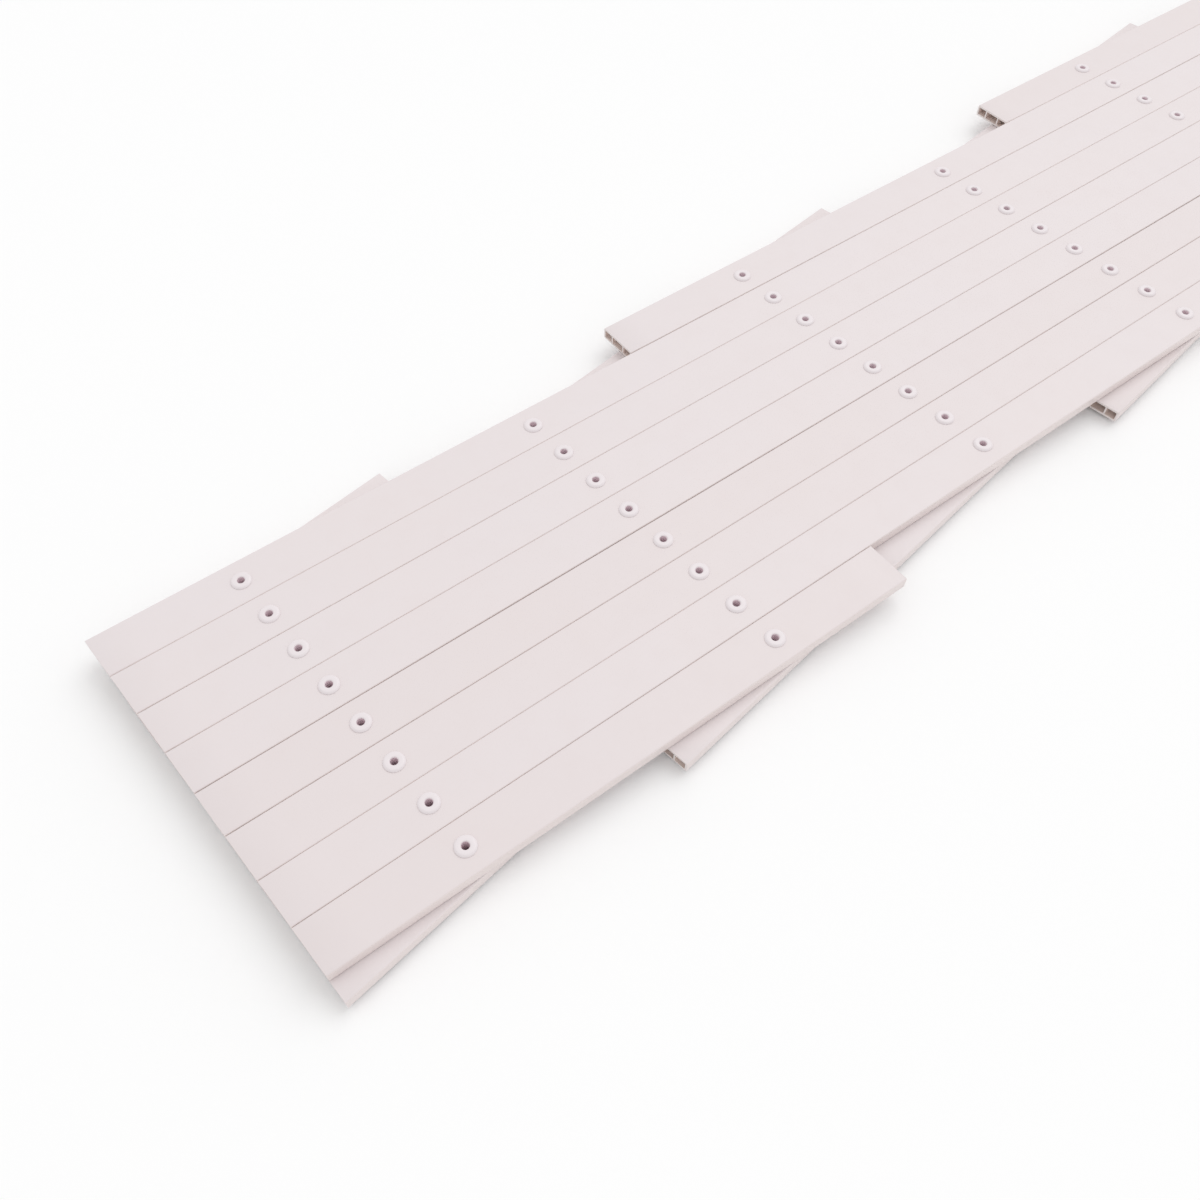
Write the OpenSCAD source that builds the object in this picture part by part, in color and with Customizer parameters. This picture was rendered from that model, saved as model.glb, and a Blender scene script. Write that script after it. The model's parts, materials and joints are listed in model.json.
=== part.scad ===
// Expanding lattice panel, folded shut: two layers of hollow slats that cross
// and are joined by a hollow rivet at every crossing. The slats of one layer
// stay parallel, so the whole panel opens like a scissor.
// The origin is the centre of the folded footprint, on the plane it lies on.
// X runs across the panel, Y along it, and Z up through both layers.

/* [Lattice] */
// Distance between neighbouring rivets along a slat
pitch = 150; // [120:1:200]
// Rivets in each row across the panel
per_row = 8; // [3:1:9]
// Rows of rivets along the panel
rows = 9; // [3:2:13]
// Free space between neighbouring slats of a layer when the panel is shut
side_gap = 0.3; // [0.2:0.05:1]
// Free space between the front and the back layer
layer_gap = 0.3; // [0.2:0.05:1]

/* [Slats] */
// Width of a slat
slat_w = 22; // [18:0.1:30]
// Thickness of a slat
slat_t = 6; // [4.5:0.1:9]
// Thickness of the outer wall of a slat
wall = 1; // [0.6:0.05:1.5]
// Thickness of each of the two webs inside a slat
web = 0.8; // [0.5:0.05:1.2]
// Width of the middle chamber, which the rivets pass through
mid_chamber = 8; // [6.6:0.1:9]
// Rounding of the four long edges of a slat
edge_r = 0.8; // [0.3:0.1:1.5]
// Rounding of the corners inside the chambers
chamber_r = 0.4; // [0.2:0.05:0.7]

/* [Slat ends] */
// Distance from the last row of rivets to the straight cut across each end of the panel
end_over = 64; // [25:1:90]
// Slat past its last rivet along the left side
left_over = 82; // [25:1:100]
// Slat past its last rivet along the right side
right_over = 65; // [25:1:100]
// The same for the back slat that starts at the fourth row, which is left longer
fourth_row_over = 79; // [25:1:100]

/* [Rivets] */
// Outside diameter of the rivet's tube
tube_d = 6; // [5:0.1:6.2]
// Bore through the rivet
bore_d = 3.2; // [2:0.1:3.6]
// Clearance all round between the tube and the slats
run_gap = 0.1; // [0.05:0.01:0.2]
// Diameter of the head on the front
head_d = 9; // [8:0.1:14]
// Height of the head
head_t = 1; // [0.8:0.1:2.5]
// Rounding of the head's rim
head_r = 0.7; // [0.3:0.1:0.9]
// Diameter of the formed tail on the back
tail_d = 8.5; // [8:0.1:12]
// Height of the tail
tail_t = 1.4; // [1:0.1:2]
// Rounding of the tail's rim
tail_r = 0.7; // [0.3:0.1:0.9]
// Free space between the tail and the back slat
tail_gap = 0.2; // [0.1:0.05:0.4]

/* [Hidden] */
round_fn = 48;
slat_colour = [0.91, 0.875, 0.87];
rivet_colour = [0.94, 0.92, 0.93];
cut_over = 1;
long_row = 3;

// Half the angle at which two slats cross while the panel is shut
half_angle = asin((slat_w + side_gap) / pitch) / 2;
half_lane = pitch * sin(half_angle);
row_pitch = pitch * cos(half_angle);
last_row = rows - 1;
last_x = 2 * per_row - 1;

// A front slat keeps x - y the same all along it, a back slat keeps x + y the same,
// where x counts half lanes across the panel and y counts rows along it
front_count = per_row + floor(last_row / 2);
back_count = per_row + floor(rows / 2);
function front_lane(k) = 2 * (k - 1 - floor(last_row / 2));
function back_lane(k) = 2 * (k - 1);
function front_first(k) = max(0, -front_lane(k));
function front_last(k) = min(last_row, last_x - front_lane(k));
function back_first(k) = max(0, back_lane(k) - last_x);
function back_last(k) = min(last_row, back_lane(k));
function back_over(k) = back_first(k) == long_row ? fourth_row_over : right_over;

// Heights of the two layers
back_z = tail_t + tail_gap;
front_z = back_z + slat_t + layer_gap;
front_top = front_z + slat_t;

// Places of the first rivet of the grid, with the folded footprint centred
left_reach = left_over * sin(half_angle) + slat_w / 2 * cos(half_angle);
right_reach = max(right_over, fourth_row_over) * sin(half_angle)
              + slat_w / 2 * cos(half_angle);
first_x = (left_reach - right_reach - last_x * half_lane) / 2;
first_y = -last_row * row_pitch / 2;
function place(x, y) = [first_x + x * half_lane, first_y + y * row_pitch];

// Slats that reach an end of the panel are drawn past the cut, and the cut trims both layers
panel_w = left_reach + right_reach + last_x * half_lane;
end_y = end_over - first_y;
rough_over = (end_over + slat_w / 2 * sin(half_angle)) / cos(half_angle) + cut_over;

function two(k) = str(k < 10 ? "0" : "", k);
function names(stem, count) = [for (k = [1:count]) str(stem, two(k))];

module rounded_bar(w, h, r) {
    square([w - 2 * r, h], center = true);
    square([w, h - 2 * r], center = true);
    for (sx = [-1, 1], sy = [-1, 1])
        translate([sx * (w / 2 - r), sy * (h / 2 - r)]) circle(r, $fn = round_fn);
}

// Cross-section of a slat: a flat tube with two webs
module slat_section() {
    side_chamber = (slat_w - mid_chamber) / 2 - web - wall;
    chamber_h = slat_t - 2 * wall;
    difference() {
        rounded_bar(slat_w, slat_t, edge_r);
        rounded_bar(mid_chamber, chamber_h, chamber_r);
        for (side = [-1, 1])
            translate([side * ((mid_chamber + side_chamber) / 2 + web), 0])
                rounded_bar(side_chamber, chamber_h, chamber_r);
    }
}

// A slat along +Y with its first rivet on the Z axis and its underside at z = 0
module slat(gaps, over_first, over_last) {
    difference() {
        translate([0, gaps * pitch + over_last, slat_t / 2])
            rotate([90, 0, 0])
                linear_extrude(over_first + gaps * pitch + over_last) slat_section();
        for (i = [0:gaps])
            translate([0, i * pitch, -cut_over])
                cylinder(h = slat_t + 2 * cut_over, d = tube_d + 2 * run_gap, $fn = round_fn);
    }
}

// Keeps what lies between the straight cuts across the two ends of the panel
module cut_to_length() {
    intersection() {
        children();
        translate([-panel_w, -end_y, -cut_over])
            cube([2 * panel_w, 2 * end_y, front_top + 2 * cut_over]);
    }
}

module front_slat(k) {
    color(slat_colour)
        cut_to_length()
            translate(concat(place(front_lane(k) + front_first(k), front_first(k)), front_z))
                rotate([0, 0, -half_angle])
                    slat(front_last(k) - front_first(k),
                         front_first(k) == 0 ? rough_over : left_over,
                         front_last(k) == last_row ? rough_over : right_over);
}

module back_slat(k) {
    color(slat_colour)
        cut_to_length()
            translate(concat(place(back_lane(k) - back_first(k), back_first(k)), back_z))
                rotate([0, 0, half_angle])
                    slat(back_last(k) - back_first(k),
                         back_first(k) == 0 ? rough_over : back_over(k),
                         back_last(k) == last_row ? rough_over : left_over);
}

// Half the section of a disc that stands on y = 0, with its rim rounded at the top only
module flange_section(d, t, r) {
    square([d / 2 - r, t]);
    square([d / 2, t - r]);
    translate([d / 2 - r, t - r])
        intersection() {
            circle(r, $fn = round_fn);
            square(r);
        }
}

// One hollow rivet, from its tail at z = 0 to the top of its head
module rivet() {
    rotate_extrude($fn = round_fn)
        difference() {
            union() {
                square([tube_d / 2, front_top + head_t]);
                translate([0, front_top]) flange_section(head_d, head_t, head_r);
                translate([0, tail_t]) mirror([0, 1]) flange_section(tail_d, tail_t, tail_r);
            }
            translate([0, -cut_over]) square([bore_d / 2, front_top + head_t + 2 * cut_over]);
        }
}

// The rivets along one front slat
module rivets(k) {
    color(rivet_colour)
        for (y = [front_first(k):front_last(k)])
            translate(place(front_lane(k) + y, y)) rivet();
}

for (k = [1:front_count])
    front_slat(k);
for (k = [1:back_count])
    back_slat(k);
for (k = [1:front_count])
    rivets(k);
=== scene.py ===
import json
import random

import bmesh
import bpy
from math import asin, atan2, cos, hypot, pi, radians, sin, tan
from mathutils import Euler, Matrix, Vector


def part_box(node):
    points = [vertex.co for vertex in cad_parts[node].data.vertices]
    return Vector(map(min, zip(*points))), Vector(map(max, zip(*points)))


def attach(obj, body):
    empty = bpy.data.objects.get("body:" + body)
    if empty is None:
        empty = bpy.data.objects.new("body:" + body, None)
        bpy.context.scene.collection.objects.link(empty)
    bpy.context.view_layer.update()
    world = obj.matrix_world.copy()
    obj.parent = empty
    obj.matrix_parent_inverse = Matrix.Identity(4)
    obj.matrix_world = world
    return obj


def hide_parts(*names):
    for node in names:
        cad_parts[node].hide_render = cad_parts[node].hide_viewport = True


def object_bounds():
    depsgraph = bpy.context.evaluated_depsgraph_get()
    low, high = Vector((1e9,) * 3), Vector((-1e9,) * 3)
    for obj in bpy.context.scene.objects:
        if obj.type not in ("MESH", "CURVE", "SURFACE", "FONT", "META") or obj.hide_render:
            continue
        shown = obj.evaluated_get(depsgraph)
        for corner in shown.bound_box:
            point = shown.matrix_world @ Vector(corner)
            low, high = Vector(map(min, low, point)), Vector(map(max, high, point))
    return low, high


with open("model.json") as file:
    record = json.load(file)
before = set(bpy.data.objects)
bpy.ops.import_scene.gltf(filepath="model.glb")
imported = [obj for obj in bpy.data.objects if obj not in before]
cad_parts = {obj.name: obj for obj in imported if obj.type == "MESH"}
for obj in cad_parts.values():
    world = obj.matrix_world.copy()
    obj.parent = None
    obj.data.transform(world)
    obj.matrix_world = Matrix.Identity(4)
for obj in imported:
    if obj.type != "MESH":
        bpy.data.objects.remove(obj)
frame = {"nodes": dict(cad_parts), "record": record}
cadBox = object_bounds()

scene = bpy.context.scene
nodes = frame["nodes"]
bodyOfNode = {node: body
              for body, held in frame["record"]["behaviour"]["bodies"].items()
              for node in held}
frontNodes = sorted(n for n in nodes if n.startswith("front_slat"))
backNodes = sorted(n for n in nodes if n.startswith("back_slat"))
rivetNodes = sorted(n for n in nodes if n.startswith("rivets"))

# what every piece shares, in metres
layout = {
    "pitch": 0.150,
    "slatWidth": 0.022,
    "slatThick": 0.006,
    "sideGap": 0.0003,
    "tube": 0.0030,
    "head": 0.0045,
    "near": 0.001,      # what lies closer together than this counts as the same place
}

lean = asin((layout["slatWidth"] + layout["sideGap"]) / layout["pitch"]) / 2


class Wire:
    # one value on its way through a node tree
    def __init__(self, tree, socket):
        self.tree = tree
        self.socket = socket

    def add(self, kind, settings=None, inputs=None, output=0):
        node = self.tree.nodes.new(kind)
        for name, value in (settings or {}).items():
            if name == "stops":
                fillRamp(node.color_ramp, value)
            else:
                setattr(node, name, value)
        for name, value in (inputs or {}).items():
            if isinstance(value, Wire):
                self.tree.links.new(value.socket, node.inputs[name])
            else:
                node.inputs[name].default_value = value
        return Wire(self.tree, node.outputs[output])

    def maths(self, operation, first, second=0.0):
        return self.add("ShaderNodeMath", {"operation": operation}, {0: first, 1: second})

    def __add__(self, other):
        return self.maths("ADD", self, other)

    def __sub__(self, other):
        return self.maths("SUBTRACT", self, other)

    def __mul__(self, other):
        return self.maths("MULTIPLY", self, other)

    def __gt__(self, other):
        return self.maths("GREATER_THAN", self, other)

    def __rsub__(self, other):
        return self.maths("SUBTRACT", other, self)

    __radd__ = __add__
    __rmul__ = __mul__

    def clamped(self):
        return self.add("ShaderNodeClamp", None, {"Value": self})


def fillRamp(ramp, stops):
    while len(ramp.elements) < len(stops):
        ramp.elements.new(0.5)
    for element, (place, shade) in zip(ramp.elements, stops):
        element.position = place
        element.color = (shade, shade, shade, 1)


def newMaterial(name, fixed):
    material = bpy.data.materials.new(name)
    material.use_nodes = True
    tree = material.node_tree
    tree.nodes.clear()
    shader = tree.nodes.new("ShaderNodeBsdfPrincipled")
    out = tree.nodes.new("ShaderNodeOutputMaterial")
    tree.links.new(shader.outputs[0], out.inputs["Surface"])
    for socket, value in fixed.items():
        shader.inputs[socket].default_value = value
    return material, tree, shader


def plug(tree, shader, links):
    for socket, wire in links.items():
        tree.links.new(wire.socket, shader.inputs[socket])


def mixColour(wire, amount, first, second):
    # the colour sockets of a Mix node are its 6th and 7th, its colour output is the 2nd
    return wire.add("ShaderNodeMix", {"data_type": "RGBA"}, {0: amount, 6: first, 7: second}, 2)


slatLook = {
    "white": (0.800, 0.726, 0.724, 1),
    "cool": (0.792, 0.732, 0.744, 1),
    "deep": (0.748, 0.662, 0.652, 1),
    # inside: painted warm shade for the chambers' faces, the tone light takes inside the translucent walls
    "inside": (0.860, 0.730, 0.670, 1),
    "sawn": (0.800, 0.740, 0.720, 1),
    # flank: painted shade on the slats' outer side faces, a warm tone for how those sides take the light
    "flank": (0.830, 0.730, 0.702, 1),
    "dust": (0.330, 0.235, 0.215, 1),
    "roughness": 0.40,
    "cloudScale": 14.0,
    "mottleScale": 70.0,
    "dieLines": (2600.0, 2.2, 1.0),     # fine across the slat, very long along it
    "rubMarks": (420.0, 9.0, 1.0),
    "speckCells": 55.0,
    "speckShare": 0.985,                # cells whose chance is above this hold a speck
    "speckShrink": 26.0,
    "sawLines": 900.0,
    "lineDepth": 0.00002,
}


def slatPlastic():
    look = slatLook
    material, tree, shader = newMaterial("extruded_white", {"IOR": 1.53, "Specular IOR Level": 0.42})
    start = Wire(tree, None)
    place = start.add("ShaderNodeTexCoord", None, None, "Object")
    along = start.add("ShaderNodeUVMap", {"uv_map": "alongSlat"})
    tone = start.add("ShaderNodeAttribute", {"attribute_name": "tone"}, None, "Fac")
    inside = start.add("ShaderNodeAttribute", {"attribute_name": "inside"}, None, "Fac")
    sawn = start.add("ShaderNodeAttribute", {"attribute_name": "sawn"}, None, "Fac")
    flank = start.add("ShaderNodeAttribute", {"attribute_name": "flank"}, None, "Fac")

    cloudy = start.add("ShaderNodeTexNoise", None,
                       {"Vector": place, "Scale": look["cloudScale"], "Detail": 3.0})
    mottle = start.add("ShaderNodeTexNoise", None,
                       {"Vector": place, "Scale": look["mottleScale"], "Detail": 4.0, "Roughness": 0.6})
    # the die leaves lines along the slat, and handling leaves rubbed streaks
    stretch = start.add("ShaderNodeMapping", None, {"Vector": along, "Scale": look["dieLines"]})
    drawn = start.add("ShaderNodeTexNoise", None, {"Vector": stretch, "Scale": 1.0, "Detail": 3.0})
    rubStretch = start.add("ShaderNodeMapping", None, {"Vector": along, "Scale": look["rubMarks"]})
    rubs = start.add("ShaderNodeTexNoise", None,
                     {"Vector": rubStretch, "Scale": 1.0, "Detail": 5.0, "Roughness": 0.7})
    rubbed = rubs.add("ShaderNodeValToRGB", {"stops": [(0.60, 0.0), (0.78, 1.0)]}, {"Fac": rubs})

    colour = mixColour(start, cloudy, look["white"], look["cool"])
    colour = mixColour(start, (mottle - 0.45).clamped() * 0.55, colour, look["deep"])
    colour = mixColour(start, (tone * 0.35).clamped(), colour, look["deep"])
    colour = mixColour(start, (drawn - 0.5).clamped() * 0.20 + rubbed * 0.07, colour, look["deep"])

    # a few specks of dust, in one cell of many
    cells = {"Vector": place, "Scale": look["speckCells"], "Randomness": 1.0}
    near = start.add("ShaderNodeTexVoronoi", {"feature": "F1"}, cells, "Distance")
    pick = start.add("ShaderNodeTexVoronoi", {"feature": "F1"}, cells, "Color")
    pickRed = start.add("ShaderNodeSeparateColor", None, {"Color": pick}, "Red")
    speck = (1.0 - near * look["speckShrink"]).clamped() * (pickRed > look["speckShare"])
    colour = mixColour(start, speck * 0.8, colour, look["dust"])

    # painted warm shade on the faces inside the chambers, for light coming through the translucent walls
    colour = mixColour(start, inside * 0.85, colour, look["inside"])
    # painted shade on the outer side faces of the slats
    colour = mixColour(start, flank * 0.55, colour, look["flank"])
    saw = start.add("ShaderNodeTexWave", {"bands_direction": "DIAGONAL"},
                    {"Vector": place, "Scale": look["sawLines"], "Distortion": 3.0}, "Fac")
    colour = mixColour(start, sawn * 0.7, colour, look["sawn"])

    roughness = (look["roughness"] + (mottle - 0.5) * 0.12 + (drawn - 0.5) * 0.10
                 - rubbed * 0.06 + sawn * 0.25)
    height = drawn * 0.8 + mottle * 0.35 + sawn * saw * 3.0
    bump = start.add("ShaderNodeBump", None,
                     {"Height": height, "Distance": look["lineDepth"], "Strength": 0.5})
    plug(tree, shader, {"Base Color": colour, "Roughness": roughness.clamped(), "Normal": bump})
    return material


rivetLook = {
    "white": (0.822, 0.760, 0.776, 1),
    "deep": (0.775, 0.706, 0.716, 1),
    # bore: painted shade for the faces inside the rivet's hole
    "bore": (0.800, 0.650, 0.700, 1),
    "roughness": 0.34,
    "cloudScale": 260.0,
    "grainScale": 2400.0,
    "grainDepth": 0.00003,
}


def rivetPlastic():
    look = rivetLook
    material, tree, shader = newMaterial("moulded_white", {"IOR": 1.5, "Specular IOR Level": 0.45})
    start = Wire(tree, None)
    place = start.add("ShaderNodeTexCoord", None, None, "Object")
    boreShadeMask = start.add("ShaderNodeAttribute", {"attribute_name": "inside"}, None, "Fac")
    cloudy = start.add("ShaderNodeTexNoise", None,
                       {"Vector": place, "Scale": look["cloudScale"], "Detail": 3.0})
    grain = start.add("ShaderNodeTexNoise", None,
                      {"Vector": place, "Scale": look["grainScale"], "Detail": 2.0})
    colour = mixColour(start, (cloudy - 0.4).clamped() * 0.6, look["white"], look["deep"])
    # painted shade inside the rivet's bore, darker and warmer than the head
    colour = mixColour(start, boreShadeMask * 0.8, colour, look["bore"])
    roughness = look["roughness"] + (cloudy - 0.5) * 0.15
    bump = start.add("ShaderNodeBump", None,
                     {"Height": grain, "Distance": look["grainDepth"], "Strength": 0.4})
    plug(tree, shader, {"Base Color": colour, "Roughness": roughness.clamped(), "Normal": bump})
    return material


floorLook = {
    "darker": (0.968, 0.968, 0.968, 1),
    "paler": (0.978, 0.978, 0.978, 1),
    "roughness": 0.75,
    "cloudScale": 2.0,
}


def floorPaint():
    look = floorLook
    material, tree, shader = newMaterial("pale_floor", {"Specular IOR Level": 0.1})
    start = Wire(tree, None)
    place = start.add("ShaderNodeTexCoord", None, None, "Object")
    cloudy = start.add("ShaderNodeTexNoise", None,
                       {"Vector": place, "Scale": look["cloudScale"], "Detail": 2.0})
    colour = mixColour(start, cloudy, look["darker"], look["paler"])
    plug(tree, shader, {"Base Color": colour, "Roughness": cloudy * 0.1 + look["roughness"]})
    return material


def rivetCentres(node):
    low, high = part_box(node)
    reach = Vector((layout["head"], layout["head"]))
    first, last = low.xy + reach, high.xy - reach
    gaps = round((last - first).length / layout["pitch"])
    return [first.lerp(last, i / gaps) if gaps else first for i in range(gaps + 1)]


def slatPlace(node, side):
    # side is 1 for the front layer, which leans to the right, and -1 for the back layer
    low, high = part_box(node)
    half = layout["slatWidth"] / 2
    nearCut = low.y < cadBox[0][1] + layout["near"]
    farCut = high.y > cadBox[1][1] - layout["near"]
    nearX, farX = (low.x, high.x) if side > 0 else (high.x, low.x)
    # the axis of the slat where it meets the panel's cut, or at the middle of its own square end
    near = Vector((nearX + side * half * (1 / cos(lean) if nearCut else cos(lean)),
                   low.y + (0 if nearCut else half * sin(lean)), low.z))
    far = Vector((farX - side * half * (1 / cos(lean) if farCut else cos(lean)),
                  high.y - (0 if farCut else half * sin(lean)), low.z))
    along = Vector((side * sin(lean), cos(lean), 0))
    up = Vector((0, 0, 1))
    turn = Matrix((up.cross(along), up, along)).transposed().to_4x4()
    return Matrix.Translation(near) @ turn, (far - near).length, nearCut, farCut


allCentres = [c for node in rivetNodes for c in rivetCentres(node)]


def boresAlong(place, length):
    found = []
    for centre in allCentres:
        local = place.inverted() @ centre.to_3d()
        if abs(local.x) < layout["near"] and 0 < local.z < length:
            found.append(local.z)
    return sorted(found)


slatSize = {
    "wall": 0.001,
    "web": 0.0008,
    "midChamber": 0.008,
    "edgeRound": 0.0006,
    "chamberRound": 0.0004,
    "roundSteps": 4,
    "support": 0.0004,      # flat strip beside each rounding, keeps the faces shading flat
    "sawnBreak": 0.00012,   # broken edge where the saw went through
    "stationsPerPitch": 8,
    "fewestStations": 6,
    "boreGap": 0.0001,
    "boreSteps": 32,
    "sharpFrom": 40,        # degrees
}


def rounded(bm, width, high, radius, centreX, centreY):
    # one closed outline of a bar's section, in the XY plane
    made = bmesh.ops.create_grid(bm, x_segments=1, y_segments=1, size=0.5)
    verts = made["verts"]
    bmesh.ops.scale(bm, vec=(width, high, 1), verts=verts)
    bmesh.ops.translate(bm, vec=(centreX, centreY, 0), verts=verts)
    bmesh.ops.bevel(bm, geom=verts, offset=radius, affect="VERTICES",
                    segments=slatSize["roundSteps"], profile=0.5, material=-1)


def slatSection(bm):
    s = slatSize
    sideChamber = (layout["slatWidth"] - s["midChamber"]) / 2 - s["web"] - s["wall"]
    chamberHigh = layout["slatThick"] - 2 * s["wall"]
    sideCentre = (s["midChamber"] + sideChamber) / 2 + s["web"]
    rounded(bm, layout["slatWidth"], layout["slatThick"], s["edgeRound"], 0, layout["slatThick"] / 2)
    rounded(bm, s["midChamber"], chamberHigh, s["chamberRound"], 0, layout["slatThick"] / 2)
    for side in (-1, 1):
        rounded(bm, sideChamber, chamberHigh, s["chamberRound"], side * sideCentre, layout["slatThick"] / 2)
    bmesh.ops.delete(bm, geom=bm.faces[:], context="FACES_ONLY")


def pullOut(bm, length):
    stations = max(slatSize["fewestStations"],
                   round(length / layout["pitch"] * slatSize["stationsPerPitch"]))
    start = ring = bm.edges[:]
    for _ in range(stations):
        made = bmesh.ops.extrude_edge_only(bm, edges=ring)["geom"]
        fresh = {g for g in made if isinstance(g, bmesh.types.BMVert)}
        ring = [g for g in made if isinstance(g, bmesh.types.BMEdge) and fresh.issuperset(g.verts)]
        bmesh.ops.translate(bm, vec=(0, 0, length / stations), verts=list(fresh))
    for end in (start, ring):
        bmesh.ops.triangle_fill(bm, edges=end, use_beauty=True, use_dissolve=False)


def depthInside(point):
    # how far a point of the slat lies from the nearest of its four outer sides
    return min(layout["slatWidth"] / 2 - abs(point.x), point.y, layout["slatThick"] - point.y)


def breakSawnEdges(bm, length):
    # the outer edge of each end, and not the chambers' edges
    s = slatSize
    outer = []
    for edge in bm.edges:
        a, b = edge.verts
        atEnd = all(min(v.co.z, length - v.co.z) < 1e-6 for v in (a, b))
        border = {abs(f.normal.z) > 0.9 for f in edge.link_faces} == {True, False}
        if atEnd and border and depthInside((a.co + b.co) / 2) < s["wall"] / 2:
            outer.append(edge)
    bmesh.ops.bevel(bm, geom=outer, offset=s["sawnBreak"], affect="EDGES",
                    segments=2, profile=0.5, material=-1)


def addSupports(bm):
    s = slatSize
    inX = layout["slatWidth"] / 2 - s["edgeRound"] - s["support"]
    cuts = [((x, 0, 0), (1, 0, 0)) for x in (-inX, inX)]
    cuts += [((0, y, 0), (0, 1, 0)) for y in (s["edgeRound"] + s["support"] * 2,
                                              layout["slatThick"] - s["edgeRound"] - s["support"] * 2)]
    for point, normal in cuts:
        bmesh.ops.bisect_plane(bm, geom=bm.verts[:] + bm.edges[:] + bm.faces[:], dist=1e-7,
                               plane_co=point, plane_no=normal)


def markFaces(bm, tone):
    inside = bm.faces.layers.float.new("inside")
    sawn = bm.faces.layers.float.new("sawn")
    flank = bm.faces.layers.float.new("flank")
    toneLayer = bm.faces.layers.float.new("tone")
    uv = bm.loops.layers.uv.new("alongSlat")
    for face in bm.faces:
        centre = face.calc_center_median()
        end = abs(face.normal.z) > 0.5
        buried = depthInside(centre) > slatSize["wall"] / 2
        # chamber faces, which the material tints with painted warm shade
        face[inside] = 1.0 if buried and not end else 0.0
        face[sawn] = 1.0 if end else 0.0
        # outer side faces, which the material tints with painted shade
        face[flank] = 1.0 if abs(face.normal.x) > 0.7 and not buried else 0.0
        face[toneLayer] = tone
        for loop in face.loops:
            co = loop.vert.co
            loop[uv].uv = (co.x + co.y * 0.5, co.z)


def boreCutter(bores):
    bm = bmesh.new()
    radius = layout["tube"] + slatSize["boreGap"]
    for z in bores:
        turn = Matrix.Translation((0, layout["slatThick"] / 2, z)) @ Matrix.Rotation(pi / 2, 4, "X")
        bmesh.ops.create_cone(bm, cap_ends=True, segments=slatSize["boreSteps"], radius1=radius,
                              radius2=radius, depth=layout["slatThick"] * 2, matrix=turn)
    return meshFrom(bm, "boreCutter")


def meshFrom(bm, name):
    mesh = bpy.data.meshes.new(name)
    bm.to_mesh(mesh)
    bm.free()
    piece = bpy.data.objects.new(name, mesh)
    scene.collection.objects.link(piece)
    return piece


def applied(piece, helpers):
    # puts the live modifiers into the mesh and clears away what they used
    bpy.context.view_layer.update()
    solid = bpy.data.meshes.new_from_object(piece.evaluated_get(bpy.context.evaluated_depsgraph_get()))
    piece.modifiers.clear()
    old = piece.data
    piece.data = solid
    bpy.data.meshes.remove(old)
    for helper in helpers:
        bpy.data.objects.remove(helper)


def shadeSmooth(mesh, angle):
    for polygon in mesh.polygons:
        polygon.use_smooth = True
    mesh.set_sharp_from_angle(angle=radians(angle))


# gaps between neighbouring front slats, from the left side of the panel, in millimetres
frontSeams = [0.03, 0.09, 0.05, 0.20, 0.03, 0.08, 0.07, 0.30, 0.12, 0.03, 0.09]
backSeams = [0.16, 0.30, 0.12, 0.24, 0.36, 0.10, 0.22, 0.30, 0.14, 0.26, 0.18]

seamLook = {
    "swing": 0.35,          # share by which a seam widens and narrows along the panel
    "wave": 0.43,           # metres from one wide place to the next
    "splay": 0.00035,       # how far a free end stands off its neighbour
    "splayOver": 0.12,
    "phase": 2.1,           # the next seam's wave starts this many radians later
    "least": 0.00002,
}


def seamWidth(seams, index, y):
    if not 0 <= index < len(seams):
        return layout["sideGap"]
    swing = 1 + seamLook["swing"] * sin(2 * pi * y / seamLook["wave"] + index * seamLook["phase"])
    return max(seamLook["least"], seams[index] / 1000 * swing)


def trimSides(bm, place, bores, seams, index):
    # each side gives up or takes half of what its seam differs from the drawing
    half = layout["slatWidth"] / 2
    for v in bm.verts:
        y = (place @ v.co).y
        onLeft = v.co.x > 0
        seam = index - 1 if onLeft else index
        give = (seamWidth(seams, seam, y) - layout["sideGap"]) / 2
        beyond = max(bores[0] - v.co.z, v.co.z - bores[-1], 0) / seamLook["splayOver"]
        give += seamLook["splay"] / 2 * min(beyond, 1) ** 2
        v.co.x -= give * v.co.x / half


endLook = {
    "trim": 0.0003,     # how far the saw may wander, inside the drawing
    "skew": 0.010,      # slope of an end that was sawn on its own
}


def trimEnds(bm, side, length, nearCut, farCut, dice):
    # the panel's own ends are sawn straight through both layers, the others slat by slat
    for end, cut in ((0, nearCut), (1, farCut)):
        inward = 1 - 2 * end
        trim = dice.uniform(0, endLook["trim"])
        skew = dice.uniform(0, endLook["skew"])
        for v in bm.verts:
            if abs(v.co.z - end * length) > layout["near"]:
                continue
            if cut:
                v.co.z += inward * trim - side * v.co.x * tan(lean)
            else:
                v.co.z += inward * (trim + skew * (layout["slatWidth"] / 2 + v.co.x))


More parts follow.
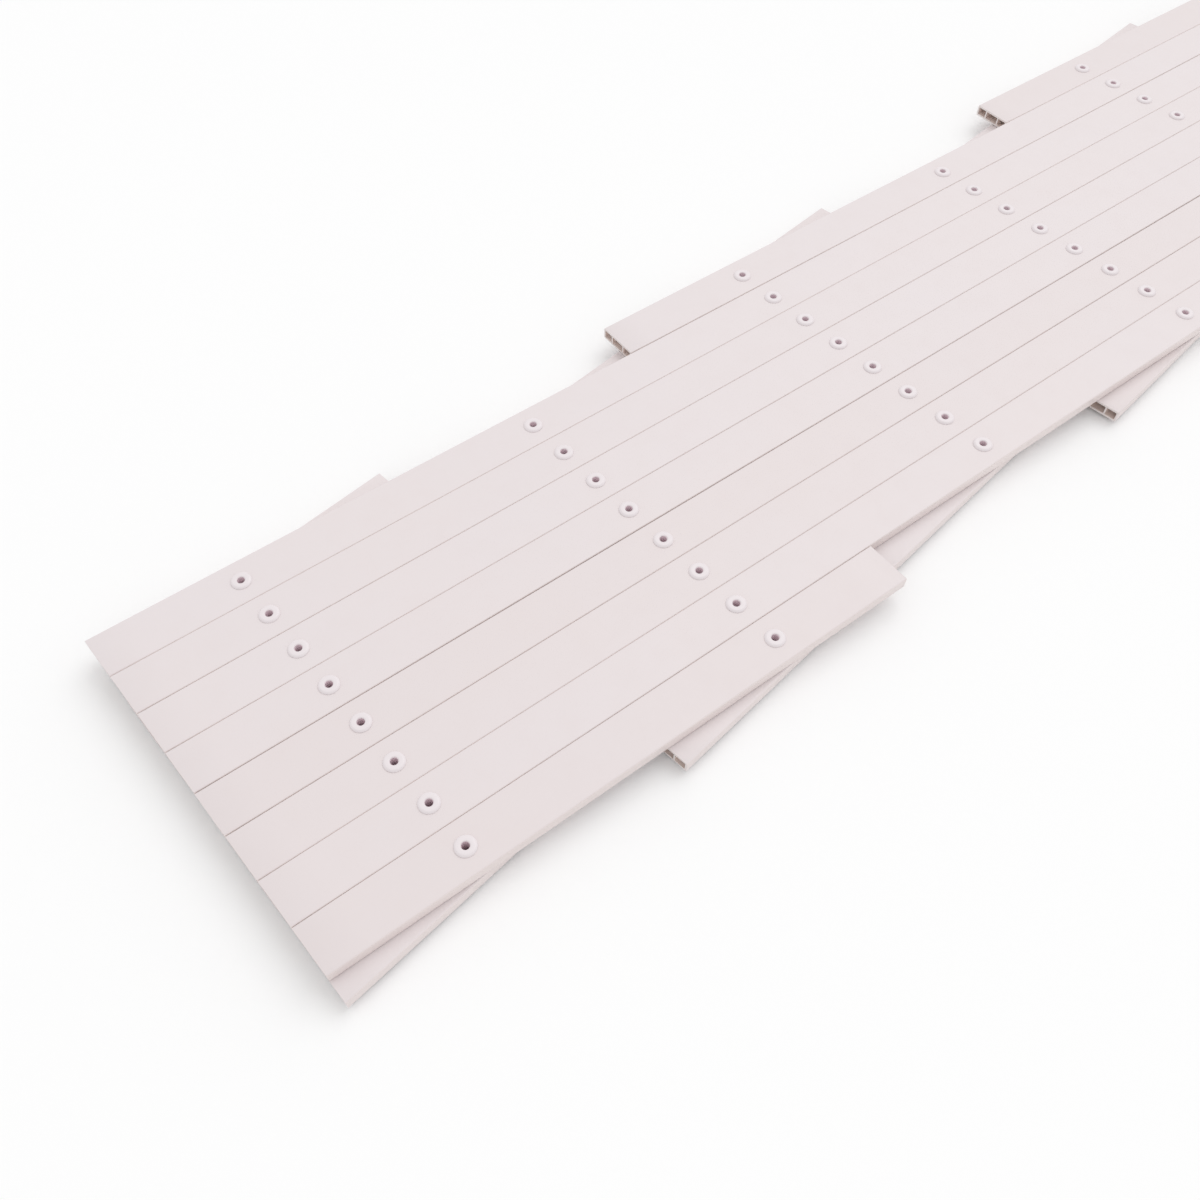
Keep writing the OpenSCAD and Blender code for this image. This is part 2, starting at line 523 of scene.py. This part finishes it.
def makeSlat(node, side, index, seams, material, dice):
    place, length, nearCut, farCut = slatPlace(node, side)
    bores = boresAlong(place, length)
    bm = bmesh.new()
    slatSection(bm)
    pullOut(bm, length)
    bmesh.ops.recalc_face_normals(bm, faces=bm.faces[:])
    breakSawnEdges(bm, length)
    addSupports(bm)
    bm.normal_update()
    markFaces(bm, dice.random())
    trimEnds(bm, side, length, nearCut, farCut, dice)
    trimSides(bm, place, bores, seams, index)
    piece = meshFrom(bm, "slat" + node.title().replace("_", "").replace("Slat", ""))
    cutter = boreCutter(bores)
    cut = piece.modifiers.new("bores", "BOOLEAN")
    cut.operation = "DIFFERENCE"
    cut.solver = "EXACT"
    cut.object = cutter
    applied(piece, [cutter])
    piece.data.transform(place)
    # a side that was moved out for a finer seam stays inside the drawn panel
    for v in piece.data.vertices:
        v.co = [min(max(at, low), high) for at, low, high in zip(v.co, *cadBox)]
    shadeSmooth(piece.data, slatSize["sharpFrom"])
    piece.data.materials.clear()
    piece.data.materials.append(material)
    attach(piece, bodyOfNode[node])
    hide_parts(node)


rivetSize = {
    "bore": 0.0016,
    "headHigh": 0.0010,
    "tail": 0.00425,
    "tailHigh": 0.0014,
    "crown": 0.0036,        # the head is flat out to here
    "mouth": 0.0005,        # the bore flares by this much at each end
    "steps": 36,
    "rimWander": 0.009,
    "sharpFrom": 45,        # degrees
}


def rivetProfile(top):
    # radius, height and rounding of each corner, from the foot of the bore round to the tail
    r = rivetSize
    under = top - r["headHigh"]
    return [
        (r["bore"], 0.00045, 0.0003),
        (r["bore"], top - 0.0004, 0.0001),
        (r["bore"] + 0.0003, top - 0.0001, 0.0001),
        (r["bore"] + r["mouth"], top, 0.0001),
        (r["crown"], top, 0.0002),
        (layout["head"] - 0.00025, top - 0.0004, 0.0002),
        (layout["head"], under + 0.00025, 0.0001),
        (layout["head"], under, 0.00005),
        (layout["tube"], under, 0.0001),
        (layout["tube"], r["tailHigh"], 0.0001),
        (r["tail"] - 0.0001, r["tailHigh"], 0.00005),
        (r["tail"], r["tailHigh"] - 0.0003, 0.0002),
        (r["tail"] - 0.0003, 0.0003, 0.0002),
        (r["tail"] - 0.0010, 0, 0.0002),
        (r["bore"] + r["mouth"], 0, 0.0002),
    ]


def rivetBody(top, dice):
    # one rivet about the Z axis, its tail at z = 0
    bm = bmesh.new()
    corners = rivetProfile(top)
    verts = [bm.verts.new((radius, 0, height)) for radius, height, _ in corners]
    for a, b in zip(verts, verts[1:] + verts[:1]):
        bm.edges.new((a, b))
    for vert, (_, _, rounding) in zip(verts, corners):
        bmesh.ops.bevel(bm, geom=[vert], offset=rounding, affect="VERTICES",
                        segments=2, profile=0.5, material=-1)
    bmesh.ops.spin(bm, geom=bm.verts[:] + bm.edges[:], cent=(0, 0, 0), axis=(0, 0, 1), angle=2 * pi,
                   steps=rivetSize["steps"], use_merge=True, use_duplicate=False)
    # the tail is formed hot, so its rim wanders a little
    phase = dice.uniform(0, 2 * pi)
    for v in bm.verts:
        radius = hypot(v.co.x, v.co.y)
        if v.co.z < rivetSize["tailHigh"] and radius > layout["tube"] * 1.2:
            turn = atan2(v.co.y, v.co.x)
            shrink = 1 - rivetSize["rimWander"] * (2 + sin(3 * turn + phase) + sin(5 * turn - phase))
            v.co.x *= shrink
            v.co.y *= shrink
    bmesh.ops.recalc_face_normals(bm, faces=bm.faces[:])
    # the bore's faces are marked here for the material's painted shade
    inside = bm.faces.layers.float.new("inside")
    for face in bm.faces:
        across = face.calc_center_median().xy.length
        face[inside] = 1.0 if across < rivetSize["bore"] * 1.03 else 0.0
    return bm


def makeRivets(node, material, dice):
    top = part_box(node)[1].z
    whole = bmesh.new()
    for centre in rivetCentres(node):
        bm = rivetBody(top, dice)
        turn = Matrix.Rotation(dice.uniform(0, 2 * pi), 4, "Z")
        bm.transform(Matrix.Translation(centre.to_3d()) @ turn)
        single = bpy.data.meshes.new("single")
        bm.to_mesh(single)
        bm.free()
        whole.from_mesh(single)
        bpy.data.meshes.remove(single)
    piece = meshFrom(whole, "rivetRow" + node[-2:])
    shadeSmooth(piece.data, rivetSize["sharpFrom"])
    piece.data.materials.append(material)
    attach(piece, bodyOfNode[node])
    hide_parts(node)


slatMaterial = slatPlastic()
rivetMaterial = rivetPlastic()
dice = random.Random(41)
for index, node in enumerate(frontNodes):
    makeSlat(node, 1, index, frontSeams, slatMaterial, dice)
print("front slats made:", len(frontNodes))
for index, node in enumerate(backNodes):
    makeSlat(node, -1, index, backSeams, slatMaterial, dice)
print("back slats made:", len(backNodes))
for node in rivetNodes:
    makeRivets(node, rivetMaterial, dice)
print("rivets made:", len(allCentres))


stageSize = {
    "floor": 14.0,
    "drop": 0.0002,     # the floor lies this far under the rivets' tails
    "keyFrom": (-0.15, 0.85, 1.20),
    "keySpread": 50,    # degrees, wide enough that shadows stay soft
    "keyPower": 0.68,
    "sky": 0.84,
    "cameraAt": (0.22292, -0.66553, 0.39914),
    "cameraTurn": (34.625, -0.133, 48.980),
    "lens": 33.63,
}


def makeFloor():
    bm = bmesh.new()
    bmesh.ops.create_grid(bm, x_segments=8, y_segments=8, size=stageSize["floor"] / 2)
    bmesh.ops.translate(bm, vec=(0, 0, -stageSize["drop"]), verts=bm.verts[:])
    floor = meshFrom(bm, "floor")
    floor.data.materials.append(floorPaint())


def makeLight():
    key = bpy.data.lights.new("softKey", "SUN")
    key.angle = radians(stageSize["keySpread"])
    key.energy = stageSize["keyPower"]
    lamp = bpy.data.objects.new("softKey", key)
    lamp.rotation_euler = Vector(stageSize["keyFrom"]).to_track_quat("Z", "Y").to_euler()
    scene.collection.objects.link(lamp)
    world = bpy.data.worlds.new("paleRoom")
    world.use_nodes = True
    sky = world.node_tree.nodes["Background"]
    sky.inputs["Color"].default_value = (1, 1, 1, 1)
    sky.inputs["Strength"].default_value = stageSize["sky"]
    scene.world = world
    scene.view_settings.view_transform = "Standard"


def makeCamera():
    lens = bpy.data.cameras.new("camera")
    lens.lens = stageSize["lens"]
    lens.sensor_width = 36
    lens.dof.use_dof = False
    lens.clip_start = 0.01
    camera = bpy.data.objects.new("camera", lens)
    camera.location = stageSize["cameraAt"]
    camera.rotation_euler = Euler([radians(a) for a in stageSize["cameraTurn"]])
    scene.collection.objects.link(camera)
    scene.camera = camera


makeFloor()
makeLight()
makeCamera()
print("stage set")
